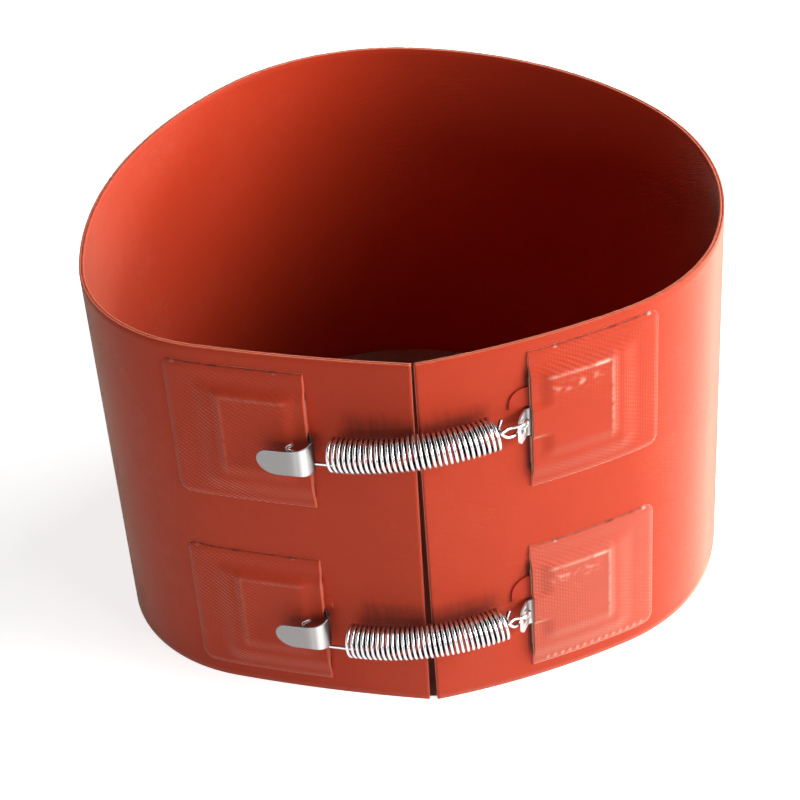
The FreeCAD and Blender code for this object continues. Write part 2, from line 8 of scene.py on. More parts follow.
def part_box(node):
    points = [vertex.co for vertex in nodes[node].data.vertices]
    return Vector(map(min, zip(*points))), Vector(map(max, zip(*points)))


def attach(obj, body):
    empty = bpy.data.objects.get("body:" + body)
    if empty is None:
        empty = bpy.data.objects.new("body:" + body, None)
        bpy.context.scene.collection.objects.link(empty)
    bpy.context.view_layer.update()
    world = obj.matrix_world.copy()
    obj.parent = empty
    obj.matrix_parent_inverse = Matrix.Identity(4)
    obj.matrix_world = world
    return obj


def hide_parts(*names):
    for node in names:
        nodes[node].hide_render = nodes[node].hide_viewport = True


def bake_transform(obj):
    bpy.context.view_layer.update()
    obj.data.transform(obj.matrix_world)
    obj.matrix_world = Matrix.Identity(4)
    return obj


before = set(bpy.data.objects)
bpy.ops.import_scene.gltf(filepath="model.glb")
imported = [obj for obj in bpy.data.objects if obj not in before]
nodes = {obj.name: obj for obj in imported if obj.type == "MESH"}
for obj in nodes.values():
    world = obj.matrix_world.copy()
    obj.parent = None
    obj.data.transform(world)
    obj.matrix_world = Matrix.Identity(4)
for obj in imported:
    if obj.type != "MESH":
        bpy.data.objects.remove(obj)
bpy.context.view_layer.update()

# Camera: a little over arm's length away, looking down on the seam from above the rim. Its place, slant and
# focal length are fitted to the band's rim and outline in the photo.
camera_place = Vector((-0.00728, -0.80850, 0.6624))
camera_pitch = radians(36.40)
camera_roll = radians(-4.42)
sensor_width = 36.0
picture_width = 800
focal_pixels = 2138.6
camera = bpy.data.objects.new("camera", bpy.data.cameras.new("camera"))
camera.data.sensor_width = sensor_width
camera.data.lens = sensor_width * focal_pixels / picture_width
camera.data.clip_start = 0.05
camera.matrix_world = (Matrix.Translation(camera_place) @ Matrix.Rotation(pi / 2 - camera_pitch, 4, "X")
                       @ Matrix.Rotation(camera_roll, 4, "Z"))
bpy.context.scene.collection.objects.link(camera)
bpy.context.scene.camera = camera
bpy.context.scene.view_settings.view_transform = "Standard"


# Studio: a white table in a white room, large soft lights low on the right, weak ones in front, and two black
# cards that give the metal its dark lines. The table shows white and still carries the band's shadow.
class Value:
    """A number that a node gives, so that a finish can be written as a sum."""

    def __init__(self, finish, socket):
        self.finish = finish
        self.socket = socket

    def sum_with(self, operation, first, second):
        return self.finish.node("ShaderNodeMath", {"operation": operation}, {0: first, 1: second})

    def __add__(self, other):
        return self.sum_with("ADD", self, other)

    def __radd__(self, other):
        return self.sum_with("ADD", other, self)

    def __sub__(self, other):
        return self.sum_with("SUBTRACT", self, other)

    def __mul__(self, other):
        return self.sum_with("MULTIPLY", self, other)


class Finish:
    """A material, or the world, whose nodes are added one by one."""

    def __init__(self, owner):
        self.owner = owner
        owner.use_nodes = True
        self.tree = owner.node_tree
        self.tree.nodes.clear()

    def node(self, kind, settings=None, inputs=None, output=0):
        made = self.tree.nodes.new(kind)
        for name, value in (settings or {}).items():
            setattr(made, name, value)
        for name, value in (inputs or {}).items():
            if isinstance(value, Value):
                self.tree.links.new(value.socket, made.inputs[name])
            else:
                made.inputs[name].default_value = value
        return Value(self, made.outputs[output])

    def mix(self, factor, first, second):
        return self.node("ShaderNodeMix", {"data_type": "RGBA"}, {0: factor, 6: first, 7: second}, 2)

    def end(self, shader, output="ShaderNodeOutputMaterial"):
        out = self.tree.nodes.new(output)
        self.tree.links.new(shader.socket, out.inputs["Surface"])
        return self.owner


def seen_directly(finish):
    """1 for rays from the camera, off bright surfaces and through glass, 0 for light that falls on things."""
    camera_ray, glossy_ray, glass_ray = [finish.node("ShaderNodeLightPath", output=name) for name in
                                         ("Is Camera Ray", "Is Glossy Ray", "Is Transmission Ray")]
    larger = {"operation": "MAXIMUM"}
    mirrored = finish.node("ShaderNodeMath", larger, {0: camera_ray, 1: glossy_ray})
    return finish.node("ShaderNodeMath", larger, {0: mirrored, 1: glass_ray})


room = Finish(bpy.context.scene.world or bpy.data.worlds.new("studio"))
bpy.context.scene.world = room.owner
room_light = 0.05
strength = room_light + seen_directly(room) * (1 - room_light)
white_room = room.node("ShaderNodeBackground", None, {"Color": (1, 1, 1, 1), "Strength": strength})
room.end(white_room, "ShaderNodeOutputWorld")


def studio_sheet(name, corners, finish):
    """A flat sheet of the studio: the table, or a card that the bright metal reflects."""
    mesh = bpy.data.meshes.new(name)
    mesh.from_pydata(corners, [], [tuple(range(len(corners)))])
    mesh.materials.append(finish)
    made = bpy.data.objects.new(name, mesh)
    bpy.context.scene.collection.objects.link(made)


def paper(name, colour, glow):
    """White paper. The glow, which falls on nothing, keeps the backdrop white round the soft shadows."""
    made = Finish(bpy.data.materials.new(name))
    lit = made.node("ShaderNodeBsdfDiffuse", None, {"Color": (*colour, 1)})
    white = made.node("ShaderNodeEmission", None,
                      {"Color": (1, 1, 1, 1), "Strength": seen_directly(made) * glow})
    return made.end(made.node("ShaderNodeAddShader", None, {0: lit, 1: white}))


def black_card():
    """Black to the metal, which takes its dark lines from it, and as white as the backdrop to the camera."""
    made = Finish(bpy.data.materials.new("black_card"))
    black = made.node("ShaderNodeBsdfDiffuse", None, {"Color": (0.02, 0.02, 0.02, 1)})
    white = made.node("ShaderNodeEmission", None, {"Color": (1, 1, 1, 1), "Strength": 1.0})
    camera_ray = made.node("ShaderNodeLightPath", output="Is Camera Ray")
    return made.end(made.node("ShaderNodeMixShader", None, {0: camera_ray, 1: black, 2: white}))


studio_sheet("table", [(-6, -6, 0), (6, -6, 0), (6, 6, 0), (-6, 6, 0)],
             paper("table_paper", (0.93, 0.93, 0.93), 0.78))
card = black_card()
studio_sheet("card_above", [(-2.2, -2.5, 2.6), (-2.2, 0.9, 2.6), (2.2, 0.9, 2.6), (2.2, -2.5, 2.6)], card)
studio_sheet("card_in_front", [(-3.0, -3.0, 0.0), (-3.0, -3.0, 1.0), (3.0, -3.0, 1.0), (3.0, -3.0, 0.0)],
             card)
aim_height = 0.09


def softbox(name, azimuth, elevation, distance, width, height, power):
    """A flat studio light that faces the band. Azimuth 0 is +X and -90 is the camera's side."""
    data = bpy.data.lights.new(name, "AREA")
    data.shape = "RECTANGLE"
    data.size = width
    data.size_y = height
    data.energy = power
    lamp = bpy.data.objects.new(name, data)
    turn, rise = radians(azimuth), radians(elevation)
    away = Vector((cos(turn) * cos(rise), sin(turn) * cos(rise), sin(rise)))
    lamp.location = away * distance + Vector((0, 0, aim_height))
    lamp.rotation_euler = away.to_track_quat("Z", "Y").to_euler()
    bpy.context.scene.collection.objects.link(lamp)


softbox("key_light", -10, 22, 1.6, 1.2, 0.9, 31.0)
softbox("front_light", -32, 24, 1.6, 1.2, 0.9, 13.0)
softbox("low_front_light", -118, 7, 2.3, 1.8, 0.5, 9.0)
softbox("side_light", 40, 10, 1.7, 0.7, 0.6, 30.0)


# Band: two sheets of red silicone rubber on glass cloth, 1 mm each, vulcanised face to face over the
# element. The band stands open in its own shape, an uneven round, and its cut ends meet in a seam.
band_length = 0.860
band_height = 0.180
sheet_thickness = 0.001
sheet_film = 0.0001
film = 0.00002
seam_gap_top = 0.0016
seam_gap_bottom = 0.0038
bow_heading = radians(9.4)
bows = ((0.107, 16.0), (0.076, 43.5), (None, 56.0), (0.147, 41.0),
        (0.114, 57.0), (None, 52.5), (0.097, 64.5), (0.106, 8.0))
edge_wave = 0.0004
edge_jag = 0.00022
mouths = {"upper": {"hook": 0.0446, "tab": 0.0469}, "lower": {"hook": 0.0459, "tab": 0.0448}}
patch_levels = {"upper": {"hook": 0.1387, "tab": 0.1412}, "lower": {"hook": 0.0418, "tab": 0.0413}}
# Painted shadow in streaks behind and above the springs.
spring_shadow_levels = (0.036, 0.136)
spring_shadow_height = 0.0195
spring_shadow_reach = 0.031
# Painted shade at the tab patches' mouths, on the sheet and on the lips.
mouth_shade_half_height = 0.0275
mouth_shade_darkness = 0.85


def way(angle):
    return np.array((cos(angle), sin(angle)))


def bow_arcs():
    """The band's outer line as arcs, each with its start, length, centre, radius and heading. The two shares
    that are None follow from closing the line."""
    turns = [radians(turn) for share, turn in bows]
    headings = [bow_heading + sum(turns[:i]) for i in range(len(turns))]
    chords = [way(h + a / 2) * sin(a / 2) / (a / 2) for h, a in zip(headings, turns)]
    shares = [share for share, turn in bows]
    fixed = sum(share * chord for share, chord in zip(shares, chords) if share)
    one, two = [i for i in range(len(shares)) if not shares[i]]
    shares[one], shares[two] = np.linalg.solve(np.array((chords[one], chords[two])).T, -fixed)
    scale = band_length / sum(shares)
    arcs, start, s = [], np.zeros(2), 0.0
    for share, turn, heading, chord in zip(shares, turns, headings, chords):
        length = share * scale
        arcs.append((s, length, start + way(heading + pi / 2) * length / turn, length / turn, heading))
        start = start + chord * length
        s += length
    return arcs


arcs = bow_arcs()


def band_flat(s, out):
    """Plan point at s along the outer face and out from it, with the outward direction."""
    arc = next((a for a in arcs if s <= a[0] + a[1]), arcs[-1])
    angle = arc[4] + (s - arc[0]) / arc[3] - pi / 2
    return arc[2] + way(angle) * (arc[3] + out), way(angle)


sheet_low, sheet_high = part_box("outer_sheet")
plan = np.array([band_flat(s, 0)[0] for s in np.linspace(0, band_length, 4000)])
node_middle = np.array((sheet_low.x + sheet_high.x, sheet_low.y + sheet_high.y)) / 2
plan_shift = node_middle - (plan.min(0) + plan.max(0)) / 2


def band_point(s, out, z):
    """A point of the band: s along the outer face from the seam's tab side, out from it, and height."""
    flat, outward = band_flat(s, out)
    return (flat[0] + plan_shift[0], flat[1] + plan_shift[1], z)


def band_end(z):
    """s of the hook end, which is cut a little out of square."""
    return band_length - seam_gap_top / 2 - (seam_gap_bottom - seam_gap_top) * (1 - z / band_height)


def new_piece(name, points, faces, material, smooth=True):
    mesh = bpy.data.meshes.new(name)
    mesh.from_pydata([tuple(p) for p in points], [], faces)
    mesh.materials.append(material)
    if smooth:
        mesh.shade_smooth()
    piece = bpy.data.objects.new(name, mesh)
    bpy.context.scene.collection.objects.link(piece)
    return piece


def lay_on_band(piece, places):
    """Gives a piece a map of its own: along the band, and up, in metres."""
    layer = piece.data.uv_layers.new(name="band")
    for loop in piece.data.loops:
        layer.data[loop.index].uv = places[loop.vertex_index]


def mark(piece, name, values):
    """Gives a piece a named value from 0 to 1 at each of its points, which its finish reads."""
    layer = piece.data.attributes.new(name, "FLOAT", "POINT")
    layer.data.foreach_set("value", [min(max(value, 0.0), 1.0) for value in values])


def silicone(name, colour, shade, weave, roughness, mapped=True, pitch=0.0012):
    """Red silicone: uneven colour, the glass cloth showing through in places as a fine twill, a waxy sheen.
    It turns pale and dark where the piece's own values say; the dark is painted shade, and some of the pale
    is a painted highlight."""
    rubber = Finish(bpy.data.materials.new(name))
    spot = rubber.node("ShaderNodeTexCoord", output="Object")
    place = rubber.node("ShaderNodeUVMap", {"uv_map": "band"}) if mapped else spot

    def uneven(scale, detail, roughness):
        return rubber.node("ShaderNodeTexNoise", None,
                           {"Vector": spot, "Scale": scale, "Detail": detail, "Roughness": roughness})

    cloud, mottle, grain = uneven(16.0, 4.0, 0.6), uneven(120.0, 3.0, 0.6), uneven(900.0, 3.0, 0.7)
    along = rubber.node("ShaderNodeSeparateXYZ", None, {0: place}, 0)
    up = rubber.node("ShaderNodeSeparateXYZ", None, {0: place}, 1)
    warp = rubber.node("ShaderNodeMath", {"operation": "SINE"}, {0: (along * 0.6 + up) * (2 * pi / pitch)})
    weft = rubber.node("ShaderNodeMath", {"operation": "SINE"}, {0: (along - up) * (2 * pi / pitch)})
    shown = rubber.node("ShaderNodeMath", {"operation": "MULTIPLY_ADD", "use_clamp": True},
                        {0: cloud, 1: 5.0, 2: -2.1})
    cloth = (warp * 0.5 + warp * weft * 0.3 + 0.5) * mottle * shown * 1.8
    tint = rubber.mix(cloud * 0.7 + mottle * 0.4 + grain * 0.2 - 0.15, shade, colour)
    pale = rubber.node("ShaderNodeAttribute", {"attribute_name": "pale"}, output=2)
    dark_tone_and_painted_shade = rubber.node("ShaderNodeAttribute", {"attribute_name": "dark_tone_and_painted_shade"}, output=2)
    # Pale where the piece says: specks, smears, beads and the paler lower tab patch, and a painted highlight
    # along the crease.
    tint = rubber.mix(pale, tint, (0.95, 0.52, 0.40, 1))
    # Dark where the piece says: painted shade and painted shadow.
    tint = rubber.mix(dark_tone_and_painted_shade, tint, (0.10, 0.010, 0.007, 1))
    height = cloth * weave + grain * 0.35
    bump = rubber.node("ShaderNodeBump", None, {"Strength": 0.5, "Distance": 0.0002, "Height": height})
    shader = rubber.node("ShaderNodeBsdfPrincipled", None,
                         {"Base Color": tint, "Roughness": grain * 0.12 + mottle * 0.08 + roughness,
                          "Normal": bump, "Specular IOR Level": 0.16, "Sheen Weight": 1.0,
                          "Sheen Roughness": 0.36, "Sheen Tint": (1.0, 0.86, 0.66, 1)})
    return rubber.end(shader)


red_outside = silicone("silicone_outside", (0.58, 0.051, 0.014, 1), (0.46, 0.034, 0.010, 1), 0.8, 0.44)
red_inside = silicone("silicone_inside", (0.57, 0.040, 0.008, 1), (0.47, 0.030, 0.006, 1), 0.9, 0.50)
# Cut edges: a paler red, partly the cut rubber's own colour and partly painted light on the top of the rim.
red_cut_with_painted_light = silicone("silicone_cut_edge_painted_light", (0.80, 0.105, 0.030, 1), (0.58, 0.055, 0.018, 1), 0.0, 0.45)


def sheet_painted_shade(s, z):
    """How much painted shade the outer sheet has: a painted shadow in streaks behind and above the springs,
    and painted shade at the tab patches' mouths.
    """
    d = min(s, band_length - s)
    streak = 0.55 + 0.9 * noise.noise((d * 900, 0, 0)) + 0.5 * noise.noise((d * 260, 5, 0))
    stain = 0.0
    # Painted shadow behind and above each spring, broken into streaks.
    for low in spring_shadow_levels:
        top = low + spring_shadow_height + 0.003 * noise.noise((d * 500, low * 90, 0))
        rise = min((z - low) / 0.004, (top - z) / 0.005, (spring_shadow_reach - d) / 0.004)
        stain = max(stain, min(max(rise, 0.0), 1.0) * (0.34 + 0.22 * streak))
    # Painted shade at each tab patch's mouth.
    for row in mouths:
        past = s - mouths[row]["tab"]
        from_end = mouth_shade_half_height - abs(z - patch_levels[row]["tab"])
        mouth_shade = min((past + 0.0024) / 0.0012, (0.0020 - past) / 0.0008, from_end / 0.004)
        stain = max(stain, mouth_shade_darkness * min(max(mouth_shade, 0.0), 1.0))
    return stain


def sheet(name, out_outer, out_inner, material, columns=800, rows=56):
    """One sheet as a strip of slices across the band. Its upper edge is cut by hand and not quite even."""
    corner = (out_outer - out_inner) / 8
    slice_points = [(out_outer, share) for share in np.linspace(0.0, 1.0, rows)]
    slice_points += [(out_outer - corner, 1.0), (out_inner + corner, 1.0)]
    slice_points += [(out_inner, share) for share in np.linspace(1.0, 0.0, rows)]
    slice_points += [(out_inner + corner, 0.0), (out_outer - corner, 0.0)]
    count = len(slice_points)
    points, places = [], []
    for i in range(columns + 1):
        wave, jag = noise.noise((i * 0.21, out_outer * 9000, 0)), noise.noise((i * 1.7, 3, 0))
        nick = edge_wave * wave ** 2 + edge_jag * abs(jag)
        for k, (out, share) in enumerate(slice_points):
            cut_edge = out not in (out_outer, out_inner)
            z = share * (band_height - nick)
            if not cut_edge:
                z = min(max(z, corner), band_height - nick - corner)
            s = seam_gap_top / 2 + (band_end(z) - seam_gap_top / 2) * i / columns
            points.append(band_point(s, out, z))
            places.append((s, z))
    faces = [tuple(range(count))[::-1], tuple(range(columns * count, (columns + 1) * count))]
    cut_faces = {0, 1}
    for i in range(columns):
        for k in range(count):
            a, b = i * count + k, i * count + (k + 1) % count
            if k in (rows - 1, rows, rows + 1):
                cut_faces.add(len(faces))
            faces.append((a, a + count, b + count, b)[::-1])
    piece = new_piece(name, points, faces, material)
    piece.data.materials.append(red_cut_with_painted_light)
    for index in cut_faces:
        piece.data.polygons[index].material_index = 1
    lay_on_band(piece, places)
    # The outer sheet carries the springs' painted shadow and painted shade at the mouths.
    if out_outer == 0.0:
        mark(piece, "dark_tone_and_painted_shade", [sheet_painted_shade(s, z) for s, z in places])
    for polygon in piece.data.polygons[:2]:
        polygon.use_smooth = False
    return piece


outer = sheet("outer_sheet_skin", 0.0, -sheet_thickness, red_outside)
inner = sheet("inner_sheet_skin", -sheet_thickness - sheet_film, -2 * sheet_thickness - sheet_film,
              red_inside)
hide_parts("outer_sheet")
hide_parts("inner_sheet")
for piece in (outer, inner):
    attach(piece, "band")
# The table inside the band is darker paper without the glow: painted shade.
inside = [band_point(s, -2 * sheet_thickness, 0.0001)
          for s in np.linspace(seam_gap_top, band_length - seam_gap_bottom, 160)]
studio_sheet("table_inside_painted_shade", inside, paper("paper_inside_painted_shade", (0.42, 0.38, 0.37), 0.0))


# Patches: four squares of silicone sheet vulcanised over the plates of the hooks and tabs. Each stands up
# over its plate as a soft-edged pad and is left open on the side that faces the seam.
patch_width = 0.0605
patch_height = 0.068
patch_thickness = 0.0012
patch_edge = 0.0006
patch_corner = 0.005
plate_reach = 0.040
plate_height = 0.0425
pad_rise = 0.00172
pad_slopes = {"top": 0.0062, "bottom": 0.0105, "far": 0.0100}
crown_rise = 0.0012
crown_slope = 0.0042
crown_lift = 0.0038
crease_rise = 0.00026
necks = {"hook": (0.00105, 0.0050), "tab": (0.0005, 0.0070)}
tab_neck_half = 0.0060
lip_seat = 0.00084
lip_rounding = 0.0003
# Painted highlights along the crease and as a glint on the tab patches' crease; pale specks on the top edge.
crease_painted_highlight = {"hook": 0.12, "tab": 0.42}
top_edge_pale = {"hook": 0.9, "tab": 2.7}
glint_pale = {"upper": 0.9, "lower": 0.6}
glint_reach = (0.0275, 0.0345)
smear_reach = (0.006, 0.034)
smear_depth = 0.0064
lower_tab_pale = 0.10
bead_reach = (0.051, 0.099)
bead_level = 0.0103
bead_pitch = 0.0036
bead_rise = 0.00035
bead_pale = 1600
red_patch = silicone("silicone_patch", (0.58, 0.052, 0.015, 1), (0.45, 0.034, 0.010, 1), 1.5, 0.40,
                     pitch=0.0021)
# Patch edges and mouth lips: a paler red, partly the cut rubber's own colour and partly painted light on the
# lit lips.
red_lip_with_painted_light = silicone("silicone_lip_painted_light", (0.80, 0.120, 0.060, 1), (0.68, 0.080, 0.035, 1), 0.0, 0.42)


def ease(t):
    t = min(max(t, 0.0), 1.0)
    return t * t * (3 - 2 * t)


def spread(low, high, fine, count):
    """Places from low to high, closer together towards both ends."""
    inside = np.linspace(low + 2 * fine, high - 2 * fine, count)
    return [low, low + 0.3 * fine, low + fine] + list(inside) + [high - fine, high - 0.3 * fine, high]


def pad_height(side, across, up):
    """How far the rubber stands up over the plate: the pad with its soft foot, a crown over the middle and a
    fine crease along the crown's top and far edge. It sinks in beside the neck of the metal."""
    top, bottom, far = plate_height / 2 - up, plate_height / 2 + up, plate_reach - across
    pad = (pad_rise * ease(1 + top / pad_slopes["top"]) * ease(1 + bottom / pad_slopes["bottom"])
           * ease(1 + far / pad_slopes["far"]))
    crown = (crown_rise * ease((top + crown_lift) / crown_slope) * ease(bottom / (2 * crown_slope))
             * ease(far / crown_slope))
    beside = 1.0 if side == "hook" else ease((abs(up - necks["tab"][0]) - tab_neck_half) / 0.003)
    crown *= 1 - beside * (1 - ease((across - 0.003) / 0.007))
    return pad + crown + crease_rise * crease(across, up)


def tucked(side, up):
    """1 beside the neck of the metal, where the mouth's lip lies down over the plate's edge, 0 over it."""
    middle, reach = necks[side]
    return ease((abs(up - middle) - reach) / 0.0008)


def crease(across, up):
    """1 on the fine crease along the top and the far edge of the crown, and 0 beside it."""
    inside = min(plate_height / 2 - up + crown_lift, plate_reach - across)
    fade = ease((across - 0.006) / 0.003) * ease((plate_height / 2 + up) / 0.012)
    return fade * exp(-((inside - crown_slope) / 0.0007) ** 2)


def wear_and_painted_light(side, row, across, up, from_top):
    """How pale and how dark the rubber is there: a painted highlight along the crease, a painted shadow along
    the top edge. A tab's patch has a painted glint on its crease, pale smears below it and painted shade at
    its mouth."""
    patchy = 0.5 + noise.noise((across * 300, up * 420, 3.0 if row == "upper" else 8.0))
    # Painted highlight along the crease.
    pale = crease_painted_highlight[side] * crease(across, up) * min(patchy + 0.35, 1.0)
    if side == "tab":
        below_top = plate_height / 2 - up
        along_top = exp(-((below_top + crown_lift - crown_slope) / 0.0006) ** 2)
        # A painted glint on the tab patch's crease.
        glint = ease((across - glint_reach[0]) / 0.001) * ease((glint_reach[1] - across) / 0.001)
        pale += glint_pale[row] * along_top * glint
        smear = ease((across - smear_reach[0]) / 0.004) * ease((smear_reach[1] - across) / 0.006)
        pale += 0.8 * smear * max(patchy - 0.45, 0.0) * exp(-((below_top - smear_depth) / 0.0022) ** 2)
    if from_top < 0.0012:
        pale += top_edge_pale[side] * max(noise.noise((across * 300, 11.0, 0)) - 0.28, 0.0)
    dark_tone_and_painted_shade = 0.0
    # Painted shadow along the patch's top edge.
    if from_top < 0.0006:
        dark_tone_and_painted_shade = 0.75 * min(max(0.45 + 1.6 * noise.noise((across * 200, 29, 0)), 0.25), 1.0)
    # Painted shade on the tab patch's mouth lip.
    if side == "tab" and abs(up) < mouth_shade_half_height:
        dark_tone_and_painted_shade = max(dark_tone_and_painted_shade, mouth_shade_darkness * ease(1 - across / 0.0003))
    if (side, row) == ("tab", "lower"):
        pale += lower_tab_pale
    return pale, dark_tone_and_painted_shade


def beads(side, row, d, z):
    """The woven selvage that shows along the foot of the lower right patch as a row of small beads."""
    if (side, row) != ("tab", "lower") or not bead_reach[0] < d < bead_reach[1]:
        return 0.0
    return bead_rise * max(sin(2 * pi * d / bead_pitch), 0.0) * exp(-((z - bead_level) / 0.0009) ** 2)


def rounded_off(distance, radius):
    """1 at an edge and 0 a radius away from it, along a quarter of a circle."""
    return 1 - sqrt(max(1 - (1 - min(distance / radius, 1)) ** 2, 0))


def patch(side, row):
    """A grid over the patch, an upper and an under side of it. Its bonded edges are pressed thin."""
    z_middle = patch_levels[row][side]
    edge_line = mouths[row][side]
    half = patch_height / 2
    levels = spread(z_middle - half, z_middle + half, 0.0005, 110)
    steps = spread(0.0, 1.0, 0.008, 96)
    points, places, marks = [], [], []
    for under in (False, True):
        for z in levels:
            from_edge = half - abs(z - z_middle)
            inset = 0.0
            if from_edge < patch_corner:
                inset = patch_corner - sqrt(max(patch_corner ** 2 - (patch_corner - from_edge) ** 2, 0.0))
            for step in steps:
                d = edge_line + (patch_width - inset) * step
                bonded = min(from_edge, (1 - step) * (patch_width - inset))
                thick = patch_edge + (patch_thickness - patch_edge) * ease(bonded / 0.003)
                rounding = patch_edge * 0.7 * rounded_off(bonded, 0.0005)
                lip = lip_rounding * rounded_off(d - edge_line, 0.0004)
                raised = pad_height(side, d - edge_line, z - z_middle)
                seat = raised
                if raised > lip_seat and d - edge_line < 0.0009:
                    seat += (lip_seat - raised) * tucked(side, z - z_middle)
                bead = beads(side, row, d, z)
                out = film + seat if under else film + thick + raised - rounding - lip + bead
                s = d if side == "tab" else band_length - d
                points.append(band_point(s, out, z))
                places.append((s, z))
                pale, dark_tone_and_painted_shade = wear_and_painted_light(side, row, d - edge_line, z - z_middle, z_middle + half - z)
                marks.append((pale + bead_pale * bead, dark_tone_and_painted_shade))
    across, up = len(steps), len(levels)
    faces, lips = [], []
    for layer in (0, 1):
        for j in range(up - 1):
            for i in range(across - 1):
                a = layer * across * up + j * across + i
                quad = (a, a + 1, a + across + 1, a + across)
                if i < 2:
                    lips.append(len(faces))
                faces.append(quad if (layer == 0) == (side == "tab") else quad[::-1])
    rim = list(range(across)) + [j * across + across - 1 for j in range(1, up)]
    rim += [(up - 1) * across + i for i in range(across - 2, -1, -1)]
    rim += [j * across for j in range(up - 2, 0, -1)]
    for a, b in zip(rim, rim[1:] + rim[:1]):
        quad = (a, a + across * up, b + across * up, b)
        lips.append(len(faces))
        faces.append(quad if side == "tab" else quad[::-1])
    piece = new_piece(f"{row}_{side}_patch_skin", points, faces, red_patch)
    piece.data.materials.append(red_lip_with_painted_light)
    for index in lips:
        piece.data.polygons[index].material_index = 1
    lay_on_band(piece, places)
    mark(piece, "pale", [pale for pale, dark_tone_and_painted_shade in marks])
    mark(piece, "dark_tone_and_painted_shade", [dark_tone_and_painted_shade for pale, dark_tone_and_painted_shade in marks])
    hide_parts(f"{row}_{side}_patch")
    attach(piece, "band")
    return piece


for row in patch_levels:
    for side in ("hook", "tab"):
        patch(side, row)


# Liners and the lead boss: the rubber strips under the plates, whose tongues come out above the metal, and
# the moulded boss on the back that the lead enters from below. They keep the CAD's shapes.
red_moulded = silicone("silicone_moulded", (0.56, 0.045, 0.014, 1), (0.45, 0.032, 0.010, 1), 0.0, 0.40,
                       mapped=False)
for name in [f"{row}_{side}_liner" for row in patch_levels for side in ("hook", "tab")] + ["lead_patch"]:
    nodes[name].data.materials.clear()
    nodes[name].data.materials.append(red_moulded)


# Strip hooks: 0.8 mm stainless strip in brushed grey, punched in one with the plate that lies in the patch's
# pocket, and bent back over the patch to a leaf with a round tip.
def metal(name, colour, roughness, scratch, stretch, with_painted_shade=False):
    """Bright metal with fine drawn scratches. One with painted shade is dark where the piece's own values
    say.
    """
    steel = Finish(bpy.data.materials.new(name))
    spot = steel.node("ShaderNodeTexCoord", output="Object")
    drawn = steel.node("ShaderNodeMapping", None, {"Vector": spot, "Scale": stretch})
    lines = steel.node("ShaderNodeTexNoise", None,
                       {"Vector": drawn, "Scale": 1.0, "Detail": 4.0, "Roughness": 0.7})
    stain = steel.node("ShaderNodeTexNoise", None, {"Vector": spot, "Scale": 160.0, "Detail": 3.0})
    dull = tuple(c * 0.72 for c in colour[:3]) + (1,)
    tint = steel.mix(lines * 0.7 + stain * 0.3, dull, colour)
    if with_painted_shade:
        # Darkened where the piece says: painted shade, and on the strip hook a darker leaf with a painted
        # highlight left bright.
        dark_tone_and_painted_shade = steel.node("ShaderNodeAttribute", {"attribute_name": "dark_tone_and_painted_shade"}, output=2)
        tint = steel.mix(dark_tone_and_painted_shade, tint, (0.035, 0.028, 0.025, 1))
    bump = steel.node("ShaderNodeBump", None, {"Strength": scratch, "Distance": 0.00005, "Height": lines})
    shader = steel.node("ShaderNodeBsdfPrincipled", None,
                        {"Base Color": tint, "Metallic": 1.0, "Normal": bump,
                         "Roughness": lines * 0.16 + stain * 0.1 + roughness})
    return steel.end(shader)


strip_steel = metal("strip_steel", (0.88, 0.87, 0.86, 1), 0.26, 0.35, (300, 300, 4000), with_painted_shade=True)


def mouth_point(side, row, x, y, z):
    """A point measured from the mouth of a patch: x towards the seam, y outwards, z its height."""
    s = mouths[row][side] if side == "tab" else band_length - mouths[row][side]
    flat, outward = band_flat(s, 0)
    seamward = np.array((-outward[1], outward[0])) * (-1 if side == "tab" else 1)
    flat = flat + seamward * x + outward * y + plan_shift
    return Vector((flat[0], flat[1], z))


plate_out = 0.00084
plate_thickness = 0.0008
hook_gap = 0.0092
hook_start = -0.0020
leaf_length = 0.0195
leaf_width = 0.0122
leaf_corner = 0.0046
leaf_sweep = 0.0085
shoulder_rise = 0.0028
shoulder_length = 0.0055
shoulder_share = 0.25
hook_tops = {"upper": 0.1416, "lower": 0.0466}
hook_neck = 0.0068
edge_break = 0.00022
inside_steps = 4
bend_steps = 30
leaf_first = inside_steps + bend_steps
opening_first = 13
# The leaf is darkened all over, the inside and first part of the bend carry painted shade, and a painted
# highlight is left bright.
leaf_darkening = 0.70
bend_painted_shade = 0.14
plate_soil = 0.6
plate_columns = 24


def strip_stations():
    """Middle line of the strip in plan, from inside the pocket round the bend to the tip, with its normal."""
    y = plate_out + plate_thickness / 2
    radius = (hook_gap + plate_thickness) / 2
    stations = [(x, y, 0.0, -1.0) for x in np.linspace(-0.0030, hook_start, inside_steps + 1)[:-1]]
    for angle in np.linspace(-pi / 2, pi / 2, bend_steps):
        x, out = hook_start + radius * cos(angle), y + radius + radius * sin(angle)
        stations.append((x, out, cos(angle), sin(angle)))
    tip = [-leaf_length + leaf_sweep * (1 - sin(angle)) for angle in np.linspace(0, pi / 2, 26)[1:]]
    leaf = np.concatenate((np.linspace(hook_start, -leaf_length + leaf_sweep, 8)[1:], tip))
    return stations + [(x, y + 2 * radius, 0.0, 1.0) for x in leaf]


def leaf_edges(x, top):
    """Upper and lower edge of the leaf at x: a shoulder up to the bend, and a round tip swept from below."""
    from_tip = x + leaf_length
    above, below = 0.0, 0.0
    if from_tip < leaf_corner:
        above = leaf_corner - sqrt(max(leaf_corner ** 2 - (leaf_corner - from_tip) ** 2, 0.0))
    if from_tip < leaf_sweep:
        below = (leaf_width - leaf_corner) * (1 - sqrt(max(1 - (1 - from_tip / leaf_sweep) ** 2, 0.0)))
    shoulder = shoulder_share * shoulder_rise * max(1 - (hook_start - x) / shoulder_length, 0.0) ** 2
    return top - above + shoulder, top - leaf_width + below


